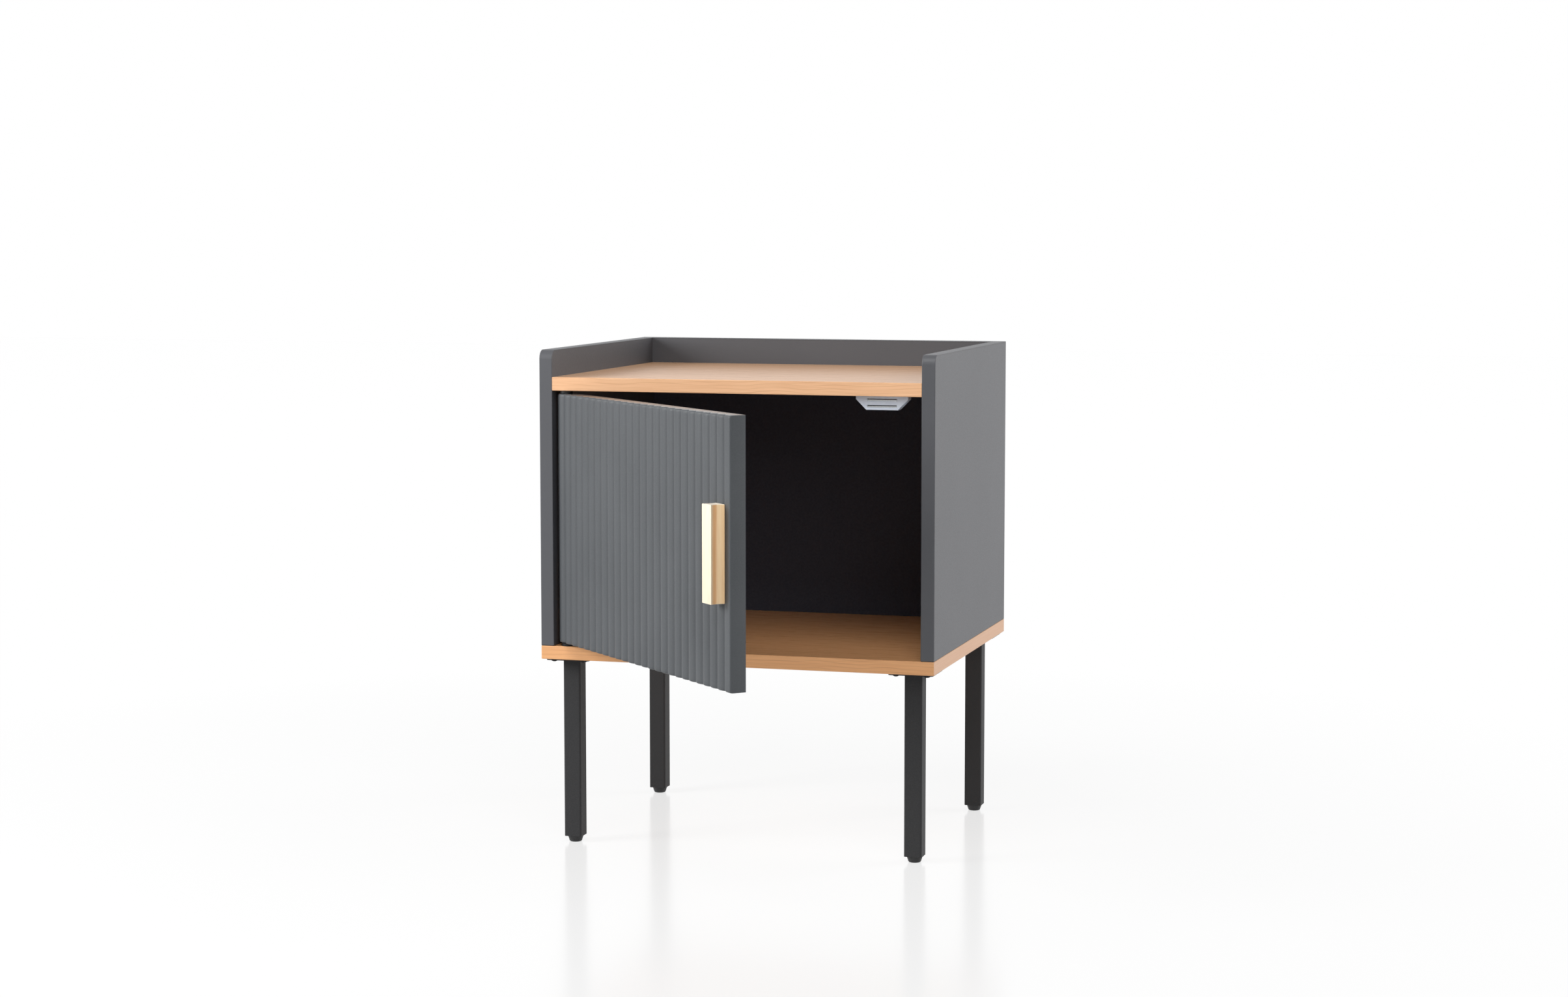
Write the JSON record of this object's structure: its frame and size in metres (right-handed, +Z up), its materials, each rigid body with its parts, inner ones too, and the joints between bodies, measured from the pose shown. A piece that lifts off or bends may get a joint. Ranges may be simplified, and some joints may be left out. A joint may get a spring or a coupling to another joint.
{
  "type": "side table with door",
  "caption": "Square side table on slim metal legs: raised rim on three sides, cabinet with a reeded swing door, wooden bar handle and magnetic catch.",
  "frame": {"origin": "on the floor, at the middle of the plan box of the whole table with its door ajar at 45 degrees; the middle of the table's width", "axes": "+X to the right across the front, +Y towards the back, +Z up"},
  "size_m": [0.45, 0.6465, 0.556],
  "materials": {
    "charcoal_board": "melamine-faced particle board, satin charcoal grey",
    "beech_board": "melamine-faced particle board, warm beech grain",
    "black_hardboard": "thin hardboard, matt black",
    "painted_door": "milled fibreboard, satin lacquer, slate grey",
    "pale_wood": "solid pale softwood, clear matt lacquer",
    "dowel_wood": "fluted beech dowel, bare",
    "black_steel": "square steel tube and plate, satin black powder coat",
    "black_plastic": "moulded polyethylene, black",
    "white_plastic": "moulded plastic, white",
    "nylon": "nylon bush, black",
    "ferrite": "sintered ferrite, dark grey",
    "bright_steel": "zinc-plated steel",
    "black_screw": "black-finished steel screw",
    "brass": "plain brass"
  },
  "bodies": {
    "cabinet": {"side_panel_left": "charcoal_board", "side_panel_right": "charcoal_board", "bottom_board": "beech_board", "top_board": "beech_board", "back_rail": "charcoal_board", "back_panel": "black_hardboard", "confirmat_screws": "bright_steel", "floor_dowels": "dowel_wood", "top_dowels": "dowel_wood", "rail_dowels": "dowel_wood", "cam_bolts": "bright_steel", "cam_locks": "bright_steel", "rail_screws": "bright_steel", "pivot_bush_upper": "nylon", "pivot_bush_lower": "nylon", "catch_housing": "white_plastic", "catch_pole_plates": "bright_steel", "catch_magnet": "ferrite", "catch_screws": "bright_steel", "leg_screws": "black_screw", "leg_tube_front_left": "black_steel", "leg_plate_front_left": "black_steel", "foot_glide_front_left": "black_plastic", "leg_tube_front_right": "black_steel", "leg_plate_front_right": "black_steel", "foot_glide_front_right": "black_plastic", "leg_tube_back_left": "black_steel", "leg_plate_back_left": "black_steel", "foot_glide_back_left": "black_plastic", "leg_tube_back_right": "black_steel", "leg_plate_back_right": "black_steel", "foot_glide_back_right": "black_plastic"},
    "door": {"door_panel": "painted_door", "pivot_pin_upper": "bright_steel", "pivot_pin_lower": "bright_steel", "door_handle": "pale_wood", "handle_inserts": "brass", "handle_screws": "bright_steel", "strike_plate": "bright_steel", "strike_screws": "bright_steel"}
  },
  "joints": [
    {"name": "door_swing", "type": "hinge", "parent": "cabinet", "child": "door", "pos_m": [-0.196, -0.02839, 0.3685], "axis": [0, 0, -1], "range_deg": [-45, 70]}
  ]
}
